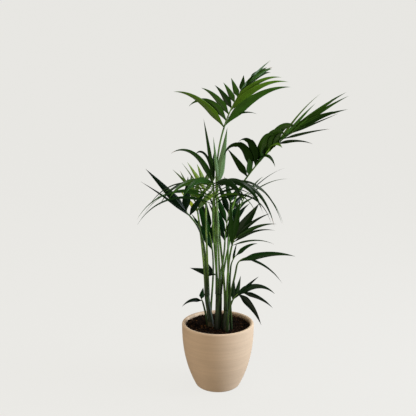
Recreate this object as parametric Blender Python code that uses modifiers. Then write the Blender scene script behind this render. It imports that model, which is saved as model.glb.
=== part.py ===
"""Kentia palm in a round stoneware pot, about 1.5 m tall. Metres, +Z up.

The origin is the middle of the pot's flat underside, and the front of the plant faces -Y.
Three sheathed stems stand in the soil. Each bears stalks, and each stalk carries one frond:
a rib with a row of leaflets on either side, grown by one seeded rule from a few sizes.
"""
import math
import random
from collections import namedtuple

import bmesh
import bpy
from mathutils import Vector
from mathutils.bvhtree import BVHTree

# Gap between a piece and the one that carries it
CLEAR = 0.0003
UP = Vector((0.0, 0.0, 1.0))

# Pot: a round tub that widens from a small flat underside
POT_HEIGHT = 0.307
POT_RADIUS = 0.165
POT_FLAT_RADIUS = 0.075
POT_HEEL_RADIUS = 0.103
POT_HEEL_HEIGHT = 0.0128
POT_HEEL_SWEEP = math.radians(70)
POT_BULGE = 2.43
POT_WALL = 0.016
POT_FLOOR = 0.018
POT_STEPS = 32
SOIL_TOP = 0.285

# Stems: foot on the soil, top of the fork, and radius at the flare, the waist and the top
Stem = namedtuple("Stem", "foot top flare waist tip")
STEMS = {
    "left": Stem((-0.032, -0.002), (-0.050, 0.004, 0.437), 0.0150, 0.0124, 0.0118),
    "middle": Stem((0.001, -0.034), (0.003, -0.030, 0.455), 0.0185, 0.0156, 0.0148),
    "right": Stem((0.035, -0.046), (0.037, -0.044, 0.385), 0.0170, 0.0154, 0.0147),
}
STEM_FLARE_HEIGHT = 0.022
STEM_SHARES = (0.0, 0.03, 0.08, 0.16, 0.30, 0.50, 0.75, 0.97, 1.0)
STALK_RADIUS = 0.0052
STALK_TIP_RADIUS = 0.0040
STALK_POINTS = 9
# A stalk is straight for this length at each end, and its foot leans this share of the way
# from upright towards the throat
STALK_STRAIGHT = 0.004
STALK_LEAN = 0.5
RIB_TIP_RADIUS = 0.0011
RIB_POINTS = 5
RIB_STRAIGHT = 0.002

# A leaflet's outline is read at these shares of its length
LEAF_STATIONS = (0.0, 0.20, 0.48, 0.76)
LEAF_STEPS = 25
LEAF_FOLD = 0.22
LEAF_THICKNESS = 0.0105
LEAF_BASE = 0.16
LEAF_SHOULDER = 0.30
LEAF_TAPER = 1.7
LEAF_POINT = 1.1
LEAF_MARGIN = 0.0006
LEAF_TRIES = 10
TRY_SPREAD = 0.5
# A leaflet droops least at its root: share of the even droop there, and what is added by the tip
SAG_START = 0.45
SAG_GAIN = 1.1
# Chance differences between leaflets: degrees, shares of the droop, and shares of full size
OPEN_PLAY = 2.5
LIFT_PLAY = 3.0
SAG_PLAY = 0.12
LENGTH_RANGE = (0.94, 1.05)
WIDTH_RANGE = (0.90, 1.08)
# Places along the rib, in leaflet spacings: first leaflet of each side, and last one to the tip
FIRST_LEFT = 0.30
FIRST_RIGHT = 0.55
LAST_TO_TIP = 0.65

# One side of a frond: number of leaflets, then values evenly spaced from its first leaflet to
# its last: length, full width, angle from the rib, rise above the blade's plane, droop in all,
# and the turn about its own midrib, like the slats of a blind
Side = namedtuple("Side", "count reach width open lift sag turn")
# A frond: the stem that bears it or None, its place round that stem's top or on the soil,
# then the rib's start, bend and end, the way its upper face looks, both sides, and the seed of
# its chance differences
Frond = namedtuple("Frond", "stem foot throat bend tip face left right seed")

FRONDS = {
    "crown": Frond(
        "right", 126, (0.024, 0.100, 1.181), (0.062, 0.125, 1.310), (0.150, 0.180, 1.402),
        (-0.2, -1.0, 0.2),
        Side(9, (0.31, 0.24, 0.185, 0.135, 0.12, 0.10, 0.08, 0.11, 0.12),
             (0.039, 0.039, 0.036, 0.036, 0.034, 0.031, 0.034, 0.044, 0.039),
             (51, 48, 55, 54, 52, 48, 26, 2, -4), (6,),
             (1.05, 2.10, 1.00, 0.60, 0.50, 0.30, 0.20, 0.40, 0.30), (8,)),
        Side(8, (0.34, 0.14, 0.31, 0.27, 0.235, 0.19, 0.15, 0.12),
             (0.047, 0.013, 0.039, 0.036, 0.036, 0.036, 0.036, 0.036),
             (24, 46, 18, 14, 6, 8, 8, 6), (6,),
             (1.10, 0.80, 1.10, 1.00, 0.40, 0.50, 0.70, 0.60), (8,)),
        11),
    "east": Frond(
        "right", 54, (0.122, 0.000, 0.973), (0.215, -0.025, 1.110), (0.330, -0.070, 1.195),
        (-0.72, -0.30, 0.62),
        Side(11, (0.16, 0.24, 0.21, 0.17, 0.20, 0.19, 0.31, 0.24, 0.33, 0.285, 0.24),
             (0.042, 0.048, 0.054, 0.058, 0.058, 0.056, 0.056, 0.050, 0.034, 0.028, 0.038),
             (69, 45, 43, 34, 35, 28, 16, 12, 4, 3, -3), (68, 65, 62),
             (0.10, 4.60, 4.60, 3.20, 3.40, 3.00, 0.60, 0.30, 0.30, 0.20, 0.40), (14,)),
        Side(9, (0.14, 0.20, 0.15, 0.17, 0.17, 0.155, 0.205, 0.235, 0.17),
             (0.044, 0.042, 0.056, 0.052, 0.048, 0.018, 0.014, 0.012, 0.032),
             (45, 27, 39, 31, 25, 24, 20, 16, 4), (64, 62, 60, 58, 56, -60, -60, -60, -40),
             (1.00, 2.80, 0.80, 2.00, 1.00, 0.70, 0.20, 0.00, 0.30), (14,)),
        12),
    "spire": Frond(
        "middle", 162, (-0.023, 0.052, 0.935), (-0.025, 0.055, 0.955), (-0.027, 0.058, 0.975),
        (0.1, -1.0, 0.2),
        Side(3, (0.27, 0.20, 0.27), (0.033, 0.037, 0.035), (15, 3, 2), (6, 0), (2.30, 3.40, 0.20), (4,)),
        Side(2, (0.10, 0.12), (0.020, 0.025), (16, 10), (0,), (0.30,), (4,)),
        13),
    "spear": Frond(
        "middle", 306, (-0.003, 0.020, 0.905), (-0.002, 0.030, 0.935), (0.001, 0.040, 0.965),
        (0.2, -1.0, 0.0),
        Side(1, (0.27,), (0.040,), (2,), (0,), (-0.10,), (0,)),
        Side(1, (0.20,), (0.022,), (-4,), (0,), (0.02,), (0,)),
        27),
    "back_left": Frond(
        "left", 30, (-0.055, 0.080, 0.827), (-0.055, 0.110, 0.889), (-0.062, 0.160, 0.930),
        (0.0, -1.0, 0.4),
        Side(4, (0.22, 0.22, 0.19, 0.14), (0.028, 0.011, 0.028, 0.028), (42, 30, 24, 10), (10, 8),
             (0.20, 0.20), (0,)),
        Side(3, (0.10, 0.12), (0.023,), (40, 20), (-10, 0), (0.40, 0.20), (0,)),
        14),
    "far_left": Frond(
        "left", 150, (-0.091, 0.080, 0.794), (-0.100, 0.112, 0.850), (-0.120, 0.160, 0.880),
        (0.4, -0.8, 0.6),
        Side(3, (0.14, 0.19, 0.12), (0.025,), (30, 12, 4), (10, 8), (0.25, 0.20), (0,)),
        Side(4, (0.18, 0.16), (0.028,), (40, 34, 16), (0,), (0.30, 0.20), (0,)),
        15),
    "front": Frond(
        "middle", 234, (-0.024, -0.090, 0.864), (-0.022, -0.125, 0.941), (-0.021, -0.260, 0.995),
        (0.0, 0.3, 1.0),
        Side(8, (0.33, 0.27, 0.32, 0.42, 0.46, 0.42, 0.33, 0.22),
             (0.016, 0.018, 0.022, 0.022, 0.024, 0.030, 0.038, 0.040),
             (46, 42, 40, 38, 38, 38, 38, 34), (8, 12, 16, 14, 10), (2.80, 2.40, 2.30, 2.20, 2.10),
             (10, 0, -30, -50)),
        Side(8, (0.38, 0.38, 0.38, 0.37, 0.36, 0.33, 0.28, 0.22),
             (0.016, 0.018, 0.021, 0.021, 0.022, 0.026, 0.034, 0.038),
             (58, 55, 52, 48, 44, 42, 40, 36), (-4, 4, 10, 12, 10), (1.90, 1.80, 1.70, 1.60, 1.40),
             (10, 0, -30, -50)),
        16),
    "west": Frond(
        "left", 270, (-0.118, -0.050, 0.805), (-0.130, -0.056, 0.820), (-0.142, -0.064, 0.838),
        (0.3, -1.0, 0.0),
        Side(2, (0.30, 0.305), (0.014, 0.044), (9, 2), (0,), (0.15, 0.10), (0,)),
        Side(2, (0.14, 0.17), (0.032, 0.044), (70, 36), (0,), (0.30, 0.10), (0,)),
        17),
    "behind": Frond(
        None, (-0.034, 0.070), (-0.024, 0.120, 0.604), (-0.029, 0.135, 0.658),
        (-0.043, 0.170, 0.708), (0.2, -0.9, 0.2),
        Side(3, (0.21, 0.23, 0.18), (0.036, 0.050, 0.048), (22, 8, 2), (0,), (0.40, 0.10), (0,)),
        Side(2, (0.16, 0.14), (0.041,), (14, 10), (0,), (0.10,), (0,)),
        18),
    "back": Frond(
        "middle", 90, (0.032, 0.080, 0.657), (0.036, 0.110, 0.737), (0.066, 0.210, 0.839),
        (0.1, -0.9, 0.6),
        Side(5, (0.20, 0.22, 0.18), (0.034,), (24, 28, 20), (14, 4), (0.40, 0.60), (10,)),
        Side(5, (0.17, 0.18, 0.15), (0.034,), (24, 26, 16), (14, 4), (0.40, 0.60), (10,)),
        19),
    "right_mid": Frond(
        "right", 270, (0.058, -0.060, 0.674), (0.063, -0.064, 0.700), (0.078, -0.072, 0.728),
        (-0.2, -1.0, 0.3),
        Side(3, (0.22, 0.20, 0.205), (0.036, 0.041, 0.053), (14, 12, -4), (0,), (0.05,), (0,)),
        Side(4, (0.19, 0.215, 0.225, 0.215), (0.011, 0.018, 0.024, 0.022), (48, 30, 24, 14), (0,),
             (0.90, 0.80, 0.80, 0.60), (0,)),
        20),
    "right_low": Frond(
        "right", 342, (0.081, -0.060, 0.585), (0.086, -0.066, 0.622), (0.128, -0.080, 0.636),
        (-0.3, -0.7, 0.6),
        Side(1, (0.29,), (0.038,), (-22,), (0,), (0.55,), (0,)),
        Side(1, (0.22,), (0.014,), (30,), (0,), (0.95,), (0,)),
        21),
    "right_foot": Frond(
        None, (0.040, -0.072), (0.060, -0.086, 0.430), (0.074, -0.092, 0.470),
        (0.104, -0.104, 0.482), (-0.3, -0.8, 0.4),
        Side(3, (0.09, 0.09, 0.11), (0.032, 0.027, 0.019), (20, 34, 20), (0,), (0.05, 0.05, 0.20), (0,)),
        Side(4, (0.13, 0.21, 0.175, 0.16), (0.016, 0.032, 0.038, 0.022), (10, 6, 60, 24), (0,),
             (0.50, 1.60, 1.00, 0.80), (0,)),
        22),
    "left_foot": Frond(
        None, (-0.048, 0.014), (-0.069, 0.010, 0.396), (-0.071, 0.007, 0.405),
        (-0.078, 0.015, 0.416), (0.3, -0.6, 0.6),
        Side(1, (0.12,), (0.022,), (52,), (6,), (1.20,), (0,)),
        Side(1, (0.06,), (0.029,), (36,), (10,), (0.10,), (0,)),
        23),
    "left_low": Frond(
        None, (-0.006, 0.028), (-0.004, 0.026, 0.512), (-0.010, 0.029, 0.530),
        (-0.034, 0.036, 0.528), (0.2, -1.0, 0.3),
        Side(1, (0.115,), (0.044,), (18,), (0,), (0.05,), (0,)),
        Side(1, (0.075,), (0.023,), (52,), (0,), (0.10,), (0,)),
        24),
    "right_back": Frond(
        "middle", 18, (0.096, 0.120, 0.805), (0.115, 0.150, 0.856), (0.154, 0.180, 0.889),
        (-0.4, -0.4, 0.9),
        Side(3, (0.08, 0.10, 0.14), (0.018, 0.015, 0.013), (60, 40, 10), (12, 6), (0.75, 0.60), (0,)),
        Side(3, (0.12, 0.22, 0.24), (0.015, 0.013, 0.011), (46, 30, 6), (10, 4), (0.75, 0.90, 0.50), (0,)),
        25),
    "right_inner": Frond(
        None, (0.060, -0.038), (0.056, -0.041, 0.579), (0.059, -0.043, 0.612),
        (0.084, -0.062, 0.645), (-0.4, -0.8, 0.4),
        Side(1, (0.09,), (0.017,), (14,), (0,), (0.60,), (0,)),
        Side(1, (0.14,), (0.024,), (2,), (0,), (0.90,), (0,)),
        26),
}


def remove_all_objects():
    """Empty the scene of the objects that a new file holds."""
    for item in list(bpy.data.objects):
        bpy.data.objects.remove(item, do_unlink=True)


def new_collection(name):
    """Return a new collection in the scene."""
    collection = bpy.data.collections.new(name)
    bpy.context.scene.collection.children.link(collection)
    return collection


def material(name, color, roughness, metallic=0.0):
    """Return a plain Principled material."""
    made = bpy.data.materials.new(name)
    made.use_nodes = True
    shader = made.node_tree.nodes["Principled BSDF"]
    shader.inputs["Base Color"].default_value = (*color, 1.0)
    shader.inputs["Roughness"].default_value = roughness
    shader.inputs["Metallic"].default_value = metallic
    return made


def add_object(name, data, collection, surface):
    """Link a mesh or curve as an object with one material."""
    item = bpy.data.objects.new(name, data)
    data.materials.clear()
    data.materials.append(surface)
    collection.objects.link(item)
    return item


def along(values, share):
    """Read evenly spaced values at a share of the way from the first to the last."""
    place = share * (len(values) - 1)
    low = min(int(place), max(len(values) - 2, 0))
    high = min(low + 1, len(values) - 1)
    return values[low] + (values[high] - values[low]) * (place - low)


def outer_radius(height):
    """Outer radius of the pot above its heel."""
    share = (height - POT_HEEL_HEIGHT) / (POT_HEIGHT - POT_HEEL_HEIGHT)
    share = min(max(share, 0.0), 1.0)
    return POT_HEEL_RADIUS + (POT_RADIUS - POT_HEEL_RADIUS) * (1 - (1 - share) ** POT_BULGE)


def pot_profile(heights=6, lip_steps=6, heel_steps=3):
    """Section of the pot, from the inner floor over the lip to the underside."""
    lip = POT_WALL / 2
    low = POT_FLOOR
    high = POT_HEIGHT - lip
    levels = [low + (high - low) * step / heights for step in range(heights + 1)]
    points = [(0.0, low)]
    points += [(outer_radius(level) - POT_WALL, level) for level in levels]
    middle = outer_radius(high) - lip
    for step in range(1, lip_steps):
        turn = math.pi * (1 - step / lip_steps)
        points.append((middle + lip * math.cos(turn), high + lip * math.sin(turn)))
    points += [(outer_radius(level), level) for level in reversed(levels)]
    for step in range(heel_steps + 1):
        turn = POT_HEEL_SWEEP * (1 - step / heel_steps)
        reach = math.sin(turn) / math.sin(POT_HEEL_SWEEP)
        rise = (1 - math.cos(turn)) / (1 - math.cos(POT_HEEL_SWEEP))
        radius = POT_FLAT_RADIUS + (POT_HEEL_RADIUS - POT_FLAT_RADIUS) * reach
        points.append((radius, POT_HEEL_HEIGHT * rise))
    points.append((0.0, 0.0))
    return points


def soil_profile(heights=6):
    """Section of the soil, clear of the pot's inner wall and floor."""
    low = POT_FLOOR + CLEAR
    levels = [SOIL_TOP + (low - SOIL_TOP) * step / heights for step in range(heights + 1)]
    points = [(0.0, SOIL_TOP)]
    points += [(outer_radius(level) - POT_WALL - 3 * CLEAR, level) for level in levels]
    points.append((0.0, low))
    return points


def turned(name, points, collection, surface):
    """Turn a profile about Z with a Screw modifier."""
    mesh = bpy.data.meshes.new(name)
    edges = [(index, index + 1) for index in range(len(points) - 1)]
    mesh.from_pydata([(radius, 0.0, height) for radius, height in points], edges, [])
    item = add_object(name, mesh, collection, surface)
    screw = item.modifiers.new("turn", "SCREW")
    screw.steps = POT_STEPS
    screw.render_steps = POT_STEPS
    screw.use_merge_vertices = True
    screw.merge_threshold = 0.00001
    screw.use_smooth_shade = True
    return item


def limb(name, points, radii, collection, surface, resolution=1):
    """Make one tapering limb as a bevelled curve with flat ends."""
    curve = bpy.data.curves.new(name, "CURVE")
    curve.dimensions = "3D"
    curve.bevel_depth = 1.0
    curve.bevel_resolution = resolution
    curve.use_fill_caps = True
    spline = curve.splines.new("POLY")
    spline.points.add(len(points) - 1)
    for node, point, radius in zip(spline.points, points, radii):
        node.co = (*point, 1.0)
        node.radius = radius
    return add_object(name, curve, collection, surface)


def curve_to_mesh(item, collection):
    """Turn a curve object into a welded mesh object of the same name."""
    name = item.name
    surface = item.data.materials[0]
    bpy.context.view_layer.update()
    evaluated = item.evaluated_get(bpy.context.evaluated_depsgraph_get())
    mesh = bpy.data.meshes.new_from_object(evaluated)
    shape = bmesh.new()
    shape.from_mesh(mesh)
    bmesh.ops.remove_doubles(shape, verts=shape.verts, dist=0.00001)
    shape.to_mesh(mesh)
    shape.free()
    matrix = item.matrix_world.copy()
    bpy.data.objects.remove(item, do_unlink=True)
    made = add_object(name, mesh, collection, surface)
    made.name = name
    made.matrix_world = matrix
    return made


def stem_points(stem):
    """Centre line and radii of a stem, upright at the foot and the top."""
    foot = Vector((*stem.foot, SOIL_TOP + CLEAR))
    top = Vector(stem.top)
    height = top.z - foot.z
    points = []
    radii = []
    for share in STEM_SHARES:
        ease = share * share * (3 - 2 * share)
        centre = foot.lerp(top, ease)
        centre.z = foot.z + height * share
        points.append(centre)
        flare = math.exp(-height * share / STEM_FLARE_HEIGHT)
        body = stem.waist + (stem.tip - stem.waist) * share
        radii.append(body + (stem.flare - stem.waist) * flare)
    return points, radii


def rib_point(frond, share):
    """Point on the rib, a parabola from the throat past the bend to the tip."""
    start, bend, end = Vector(frond.throat), Vector(frond.bend), Vector(frond.tip)
    return start.lerp(bend, share).lerp(bend.lerp(end, share), share)


def rib_direction(frond, share):
    """Unit direction of the rib."""
    start, bend, end = Vector(frond.throat), Vector(frond.bend), Vector(frond.tip)
    return (bend - start).lerp(end - bend, share).normalized()


def stalk_foot(frond):
    """Where a frond's stalk stands: on its stem's top, or on the soil."""
    if frond.stem is None:
        return Vector((*frond.foot, SOIL_TOP + CLEAR))
    stem = STEMS[frond.stem]
    turn = math.radians(frond.foot)
    reach = stem.tip - STALK_RADIUS - CLEAR
    top = Vector(stem.top) + UP * CLEAR
    return top + Vector((math.cos(turn), math.sin(turn), 0.0)) * reach


def stalk_points(frond):
    """Centre line of a stalk: leaning out at its foot, in line with the rib at the throat."""
    foot = stalk_foot(frond)
    aim = rib_direction(frond, 0.0)
    end = Vector(frond.throat) - aim * CLEAR
    low = foot + UP * STALK_STRAIGHT
    high = end - aim * STALK_STRAIGHT
    pull = (high - low).length
    rise = UP.lerp((high - low).normalized(), STALK_LEAN).normalized()
    points = [foot]
    for step in range(STALK_POINTS + 1):
        share = step / STALK_POINTS
        rest = 1 - share
        point = low * rest * rest * (1 + 2 * share) + high * share * share * (3 - 2 * share)
        point += rise * pull * share * rest * rest - aim * pull * share * share * rest
        points.append(point)
    points.append(end)
    return points


def leaf_width(share):
    """Width of a leaflet along its length, as a share of its full width."""
    rise = min(share / LEAF_SHOULDER, 1.0)
    rise = LEAF_BASE + (1 - LEAF_BASE) * rise * rise * (3 - 2 * rise)
    return rise * (1 - share ** LEAF_TAPER) ** LEAF_POINT


def leaf_path(root, start, width_way, length, sag):
    """Centre line of a leaflet that droops by its own weight, with its width direction."""
    point = root.copy()
    direction = start.normalized()
    width_way = (width_way - direction * width_way.dot(direction)).normalized()
    path = [(point.copy(), direction.copy(), width_way.copy())]
    for step in range(LEAF_STEPS):
        weight = SAG_START + SAG_GAIN * step / LEAF_STEPS
        direction = (direction - UP * sag * weight / LEAF_STEPS).normalized()
        width_way = (width_way - direction * width_way.dot(direction)).normalized()
        point += direction * length / LEAF_STEPS
        path.append((point.copy(), direction.copy(), width_way.copy()))
    return path


def leaf_shape(path, length, width, face, grow=0.0):
    """Loft a folded leaflet along its path and return vertices and faces."""
    thick = length * LEAF_THICKNESS / 2 + grow
    verts = []
    faces = []
    for share in LEAF_STATIONS:
        point, direction, width_way = path[round(share * LEAF_STEPS)]
        normal = direction.cross(width_way)
        normal *= 1 if normal.dot(face) > 0 else -1
        half = width * leaf_width(share) / 2 + grow
        drop = normal * half * LEAF_FOLD
        verts.append(point + width_way * half - drop)
        verts.append(point + normal * thick)
        verts.append(point - width_way * half - drop)
        verts.append(point - normal * thick)
    for ring in range(len(LEAF_STATIONS) - 1):
        for side in range(4):
            here = ring * 4 + side
            there = ring * 4 + (side + 1) % 4
            faces.append((here, there, there + 4, here + 4))
    faces.append((3, 2, 1, 0))
    verts.append(path[-1][0])
    last = (len(LEAF_STATIONS) - 1) * 4
    for side in range(4):
        faces.append((last + side, last + (side + 1) % 4, len(verts) - 1))
    return verts, faces


def tree_of(verts, faces):
    """Search tree of one shape."""
    return BVHTree.FromPolygons([tuple(vert) for vert in verts], faces)


def grow_leaflet(frond, side, sign, index, dice, taken):
    """Place one leaflet clear of everything in its way, or return None."""
    share = rib_share(side, sign, index)
    rank = index / max(side.count - 1, 1)
    rib = rib_direction(frond, share)
    face = Vector(frond.face)
    face = (face - rib * face.dot(rib)).normalized()
    across = rib.cross(face) * sign
    root = rib_point(frond, share)
    turn = math.radians(along(side.turn, rank))
    width_way = rib * math.cos(turn) + face * math.sin(turn)
    for attempt in range(LEAF_TRIES):
        spread = 1 + TRY_SPREAD * attempt
        opening = math.radians(along(side.open, rank) + dice.uniform(-OPEN_PLAY, OPEN_PLAY) * spread)
        lift = math.radians(along(side.lift, rank) + dice.uniform(-LIFT_PLAY, LIFT_PLAY) * spread)
        sag = along(side.sag, rank) * (1 + dice.uniform(-SAG_PLAY, SAG_PLAY) * spread)
        length = along(side.reach, rank) * dice.uniform(*LENGTH_RANGE)
        outward = across * math.cos(lift) + face * math.sin(lift)
        start = rib * math.cos(opening) + outward * math.sin(opening)
        path = leaf_path(root, start, width_way, length, sag)
        width = along(side.width, rank) * dice.uniform(*WIDTH_RANGE)
        grown = leaf_shape(path, length, width, face, grow=LEAF_MARGIN)
        if not taken.overlap(tree_of(*grown)):
            return leaf_shape(path, length, width, face)
    return None


def rib_share(side, sign, index):
    """Place of a leaflet along the rib, those of one side a little further on."""
    first = FIRST_RIGHT if sign > 0 else FIRST_LEFT
    return (index + first) / (side.count - 1 + LAST_TO_TIP)


def solid_from(name, verts, faces, collection, surface):
    """Make a mesh object whose faces point out."""
    mesh = bpy.data.meshes.new(name)
    mesh.from_pydata([tuple(vert) for vert in verts], [], faces)
    shape = bmesh.new()
    shape.from_mesh(mesh)
    bmesh.ops.recalc_face_normals(shape, faces=shape.faces)
    shape.to_mesh(mesh)
    shape.free()
    return add_object(name, mesh, collection, surface)


def world_polygons(item):
    """Vertices and faces of an object as it is evaluated, in world space."""
    evaluated = item.evaluated_get(bpy.context.evaluated_depsgraph_get())
    mesh = evaluated.to_mesh()
    verts = [item.matrix_world @ vert.co for vert in mesh.vertices]
    faces = [tuple(face.vertices) for face in mesh.polygons]
    evaluated.to_mesh_clear()
    return verts, faces


def add_to(everything, verts, faces):
    """Add a shape to the list of what is in the way."""
    first = len(everything[0])
    everything[0].extend(verts)
    everything[1].extend(tuple(index + first for index in face) for face in faces)


def keep_outer_skin(mesh):
    """Fill sealed hollows and drop scraps: keep the connected skin with the most faces."""
    shape = bmesh.new()
    shape.from_mesh(mesh)
    left = set(shape.faces)
    skins = []
    while left:
        skin = {left.pop()}
        edge_of_skin = list(skin)
        while edge_of_skin:
            face = edge_of_skin.pop()
            for edge in face.edges:
                beside = edge.link_faces if len(edge.link_faces) == 2 else ()
                for other in beside:
                    if other in left:
                        left.remove(other)
                        skin.add(other)
                        edge_of_skin.append(other)
        skins.append(skin)
    skins.sort(key=len)
    extra = [face for skin in skins[:-1] for face in skin]
    bmesh.ops.delete(shape, geom=extra, context="FACES")
    shape.to_mesh(mesh)
    shape.free()


def join_leaflets(rib, leaflets):
    """Union a collection of leaflets onto the rib, then remove them."""
    union = rib.modifiers.new("leaflets", "BOOLEAN")
    union.operation = "UNION"
    union.solver = "EXACT"
    union.operand_type = "COLLECTION"
    union.collection = leaflets
    bpy.context.view_layer.update()
    evaluated = rib.evaluated_get(bpy.context.evaluated_depsgraph_get())
    mesh = bpy.data.meshes.new_from_object(evaluated)
    keep_outer_skin(mesh)
    rib.modifiers.clear()
    rib.data = mesh
    for item in list(leaflets.objects):
        bpy.data.objects.remove(item, do_unlink=True)
    bpy.data.collections.remove(leaflets)


def build_pot(palm):
    """The pot and its soil."""
    clay = material("pot_clay", (0.62, 0.47, 0.33), 0.75)
    compost = material("compost", (0.03, 0.018, 0.01), 0.95)
    turned("pot", pot_profile(), palm, clay)
    turned("soil", soil_profile(), palm, compost)


def build_stems(palm, sheath):
    """The three sheathed stems."""
    made = []
    for name, stem in STEMS.items():
        points, radii = stem_points(stem)
        made.append(limb("stem_" + name, points, radii, palm, sheath, resolution=3))
    return made


def build_stalks(palm, rind):
    """One stalk for each frond."""
    made = []
    for name, frond in FRONDS.items():
        points = stalk_points(frond)
        last = len(points) - 1
        radii = [STALK_RADIUS + (STALK_TIP_RADIUS - STALK_RADIUS) * step / last
                 for step in range(last + 1)]
        made.append(limb("stalk_" + name, points, radii, palm, rind))
    return made


def build_frond(name, frond, everything, palm, green):
    """A rib with its leaflets, joined as one solid clear of everything so far."""
    points = [rib_point(frond, step / RIB_POINTS) for step in range(RIB_POINTS + 1)]
    radii = [STALK_TIP_RADIUS + (RIB_TIP_RADIUS - STALK_TIP_RADIUS) * step / RIB_POINTS
             for step in range(RIB_POINTS + 1)]
    points.insert(1, points[0] + rib_direction(frond, 0.0) * RIB_STRAIGHT)
    radii.insert(1, STALK_TIP_RADIUS)
    rib = curve_to_mesh(limb("frond_" + name, points, radii, palm, green), palm)
    taken = tree_of(*everything)
    dice = random.Random(frond.seed)
    leaflets = new_collection("leaflets_" + name)
    for side, sign in ((frond.left, -1), (frond.right, 1)):
        for index in range(side.count):
            shape = grow_leaflet(frond, side, sign, index, dice, taken)
            if shape:
                solid_from("leaflet", *shape, leaflets, green)
    join_leaflets(rib, leaflets)
    add_to(everything, *world_polygons(rib))


def main():
    """Build the palm and its pot."""
    remove_all_objects()
    palm = new_collection("kentia_palm")
    sheath = material("sheath_green", (0.05, 0.11, 0.03), 0.50)
    rind = material("stalk_green", (0.10, 0.20, 0.04), 0.45)
    green = material("leaf_green", (0.03, 0.09, 0.03), 0.40)
    build_pot(palm)
    limbs = build_stems(palm, sheath) + build_stalks(palm, rind)
    bpy.context.view_layer.update()
    everything = ([], [])
    for item in limbs:
        add_to(everything, *world_polygons(item))
    for name, frond in FRONDS.items():
        build_frond(name, frond, everything, palm, green)


if __name__ == "__main__":
    main()
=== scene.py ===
"""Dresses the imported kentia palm: pot, compost, stems, stalks and fronds with fine leaflets.

The growth rule and its sizes are those of the solids, so each leaflet follows the path of the
solid one, with a finer outline, fold, veins and colour. Metres, +Z up, front towards -Y.
"""
import math
import random
from collections import namedtuple

import bmesh
import bpy
from bpy.props import FloatProperty, FloatVectorProperty, IntProperty, PointerProperty
from mathutils import Matrix, Vector, noise
from mathutils.bvhtree import BVHTree


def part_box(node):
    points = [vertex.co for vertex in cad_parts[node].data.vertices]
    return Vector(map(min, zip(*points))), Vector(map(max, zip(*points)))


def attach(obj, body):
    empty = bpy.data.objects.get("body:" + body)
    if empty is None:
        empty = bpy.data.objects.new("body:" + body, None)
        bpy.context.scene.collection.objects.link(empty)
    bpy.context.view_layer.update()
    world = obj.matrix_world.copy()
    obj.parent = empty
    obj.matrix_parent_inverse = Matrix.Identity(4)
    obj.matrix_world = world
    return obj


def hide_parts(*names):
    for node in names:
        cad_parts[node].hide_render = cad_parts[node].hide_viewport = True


bl_info = {
    "name": "Kentia palm in a stoneware pot",
    "version": (1, 0, 0),
    "blender": (4, 5, 0),
    "location": "3D View > Sidebar > Palm",
    "description": "Builds the finished palm around its packed solids",
    "category": "Add Mesh",
}

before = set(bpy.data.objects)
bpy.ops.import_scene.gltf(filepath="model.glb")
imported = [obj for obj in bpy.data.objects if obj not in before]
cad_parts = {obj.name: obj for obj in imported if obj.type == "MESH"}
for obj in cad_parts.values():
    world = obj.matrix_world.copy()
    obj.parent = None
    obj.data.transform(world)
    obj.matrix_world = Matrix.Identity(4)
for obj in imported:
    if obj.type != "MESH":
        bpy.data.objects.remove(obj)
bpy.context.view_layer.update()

UP = Vector((0.0, 0.0, 1.0))
MM = 0.001
# Gap between solids that meet
CLEAR = 0.0003

# Pot and soil, measured on the solids
POT_LOW, POT_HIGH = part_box("pot")
POT_HEIGHT = POT_HIGH.z
POT_RADIUS = (POT_HIGH.x - POT_LOW.x) / 2
SOIL_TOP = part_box("soil")[1].z
# The pot's turned section: flat underside, rounded heel, bulge of the wall, and thicknesses
POT_FLAT_RADIUS = 0.075
POT_HEEL_RADIUS, POT_HEEL_HEIGHT = 0.103, 0.0128
POT_HEEL_SWEEP = math.radians(70)
POT_BULGE = 2.43
POT_WALL, POT_FLOOR = 0.016, 0.018

# Stems: foot on the soil, top of the fork, and radius at the flare, the waist and the top
Stem = namedtuple("Stem", "foot top flare waist tip")
STEMS = {
    "left": Stem((-0.032, -0.002), (-0.050, 0.004, 0.437), 0.0150, 0.0124, 0.0118),
    "middle": Stem((0.001, -0.034), (0.003, -0.030, 0.455), 0.0185, 0.0156, 0.0148),
    "right": Stem((0.035, -0.046), (0.037, -0.044, 0.385), 0.0170, 0.0154, 0.0147),
}
STEM_FLARE_HEIGHT = 0.022
# Stalks and ribs: radii at foot, throat and tip, the straight run at both ends of a stalk, and
# how far its foot leans towards its frond, from 0, upright, to 1
STALK_RADIUS, STALK_TIP_RADIUS, RIB_TIP_RADIUS = 0.0052, 0.0040, 0.0011
STALK_STRAIGHT = 0.004
STALK_LEAN = 0.5

# Leaflets: steps of the centre line, and shares of it at which the solids' leaflets have a ring
LEAF_STEPS = 25
LEAF_STATIONS = (0.0, 0.20, 0.48, 0.76)
# Slope of the roof fold, and the solids' thickness as a share of the length
LEAF_FOLD, LEAF_THICKNESS = 0.22, 0.0105
# Outline: width at the root, where it is full, and two powers by which it narrows to the tip
LEAF_BASE, LEAF_SHOULDER, LEAF_TAPER, LEAF_POINT = 0.16, 0.30, 1.7, 1.1
# Gap kept free around a leaflet, tries, and how much wider chance plays with each new try
LEAF_MARGIN, LEAF_TRIES, TRY_SPREAD = 0.0006, 10, 0.5
# A leaflet droops least at its root: share of the even droop there, and what is added by the tip
SAG_START, SAG_GAIN = 0.45, 1.1
# Chance differences between leaflets: degrees, shares of the droop, and shares of full size
OPEN_PLAY, LIFT_PLAY, SAG_PLAY = 2.5, 3.0, 0.12
LENGTH_RANGE, WIDTH_RANGE = (0.94, 1.05), (0.90, 1.08)
# Places along the rib, in leaflet spacings: first leaflet of each side, and last one to the tip
FIRST_LEFT, FIRST_RIGHT, LAST_TO_TIP = 0.30, 0.55, 0.65

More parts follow.
